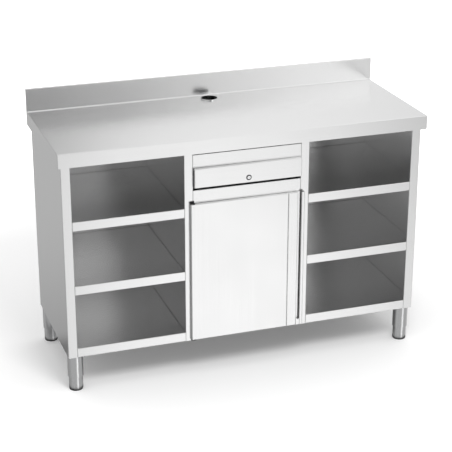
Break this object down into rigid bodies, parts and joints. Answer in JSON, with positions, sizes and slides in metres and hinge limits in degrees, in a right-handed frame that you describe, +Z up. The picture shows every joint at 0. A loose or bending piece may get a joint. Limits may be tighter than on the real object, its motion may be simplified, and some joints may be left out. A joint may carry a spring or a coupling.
{
  "type": "coffee station cabinet",
  "caption": "Stainless back-bar cabinet on adjustable feet: worktop with upstand and cable hole, open shelves at both sides, a lockable drawer and a door between them.",
  "frame": {"origin": "middle of the footprint, on the floor under the feet", "axes": "X to the right along the front, Y to the back, Z up"},
  "size_m": [1.6, 0.605, 1.166],
  "materials": {
    "brushed_stainless": "satin brushed",
    "polished_stainless": "fine polished tube",
    "zinc_plated_steel": "bright zinc plate",
    "dark_steel": "dark passivated",
    "chrome": "polished",
    "black_rubber": "matt",
    "black_plastic": "matt moulded",
    "nylon": "natural nylon",
    "clear_bumper": "soft clear",
    "laminated_board": "board with a grey laminate"
  },
  "bodies": {
    "cabinet": {"worktop": "brushed_stainless", "worktop_board": "laminated_board", "cable_grommet": "brushed_stainless", "worktop_stiffeners": "brushed_stainless", "side_panel_left": "brushed_stainless", "side_panel_right": "brushed_stainless", "divider_left": "brushed_stainless", "divider_right": "brushed_stainless", "back_panel": "brushed_stainless", "floor_left": "brushed_stainless", "floor_centre": "brushed_stainless", "floor_right": "brushed_stainless", "shelf_left_lower": "brushed_stainless", "shelf_left_upper": "brushed_stainless", "shelf_right_lower": "brushed_stainless", "shelf_right_upper": "brushed_stainless", "drawer_fascia": "brushed_stainless", "drawer_rail": "brushed_stainless", "runner_supports": "zinc_plated_steel", "runner_outer_left": "zinc_plated_steel", "runner_outer_right": "zinc_plated_steel", "hinge_bracket_top": "dark_steel", "hinge_bracket_bottom": "dark_steel", "door_catch": "black_plastic", "leg_plates": "brushed_stainless", "leg_bolts": "zinc_plated_steel", "leg_inserts": "nylon", "back_rivets": "zinc_plated_steel", "leg_sleeve_front_left": "polished_stainless", "leg_sleeve_front_right": "polished_stainless", "leg_sleeve_back_left": "polished_stainless", "leg_sleeve_back_right": "polished_stainless"},
    "middle_runner_left": {"runner_mid_left": "zinc_plated_steel"},
    "middle_runner_right": {"runner_mid_right": "zinc_plated_steel"},
    "drawer": {"drawer_front": "brushed_stainless", "drawer_box": "brushed_stainless", "drawer_bottom": "brushed_stainless", "runner_inner_left": "zinc_plated_steel", "runner_inner_right": "zinc_plated_steel", "lock_barrel": "chrome", "lock_nut": "chrome", "drawer_screws": "zinc_plated_steel"},
    "lock": {"lock_plug": "chrome", "lock_cam": "chrome", "cam_nut": "chrome"},
    "door": {"door_skin": "brushed_stainless", "door_liner": "brushed_stainless", "door_handle": "brushed_stainless", "handle_plug": "brushed_stainless", "hinge_bushes": "nylon", "strike_plate": "zinc_plated_steel", "door_bumpers": "clear_bumper"},
    "adjustable_foot_front_left": {"foot_front_left": "polished_stainless", "pad_front_left": "black_rubber"},
    "adjustable_foot_front_right": {"foot_front_right": "polished_stainless", "pad_front_right": "black_rubber"},
    "adjustable_foot_back_left": {"foot_back_left": "polished_stainless", "pad_back_left": "black_rubber"},
    "adjustable_foot_back_right": {"foot_back_right": "polished_stainless", "pad_back_right": "black_rubber"}
  },
  "joints": [
    {"name": "drawer_slide", "type": "slide", "parent": "cabinet", "child": "drawer", "axis": [0, -1, 0], "range_m": [0, 0.4]},
    {"name": "runner_left_slide", "type": "slide", "parent": "cabinet", "child": "middle_runner_left", "axis": [0, -1, 0], "range_m": [0, 0.2]},
    {"name": "runner_right_slide", "type": "slide", "parent": "cabinet", "child": "middle_runner_right", "axis": [0, -1, 0], "range_m": [0, 0.2]},
    {"name": "door_hinge", "type": "hinge", "parent": "cabinet", "child": "door", "pos_m": [-0.245, -0.286, 0.4765], "axis": [0, 0, -1], "range_deg": [0, 110]},
    {"name": "lock_turn", "type": "hinge", "parent": "drawer", "child": "lock", "pos_m": [0, -0.2785, 0.877], "axis": [0, 1, 0], "range_deg": [0, 90]},
    {"name": "foot_front_left_screw", "type": "slide", "parent": "cabinet", "child": "adjustable_foot_front_left", "axis": [0, 0, -1], "range_m": [0, 0.025]},
    {"name": "foot_front_right_screw", "type": "slide", "parent": "cabinet", "child": "adjustable_foot_front_right", "axis": [0, 0, -1], "range_m": [0, 0.025]},
    {"name": "foot_back_left_screw", "type": "slide", "parent": "cabinet", "child": "adjustable_foot_back_left", "axis": [0, 0, -1], "range_m": [0, 0.025]},
    {"name": "foot_back_right_screw", "type": "slide", "parent": "cabinet", "child": "adjustable_foot_back_right", "axis": [0, 0, -1], "range_m": [0, 0.025]}
  ],
  "couplings": [
    {"joint": "runner_left_slide", "follows": "drawer_slide", "ratio": 0.5},
    {"joint": "runner_right_slide", "follows": "drawer_slide", "ratio": 0.5}
  ]
}
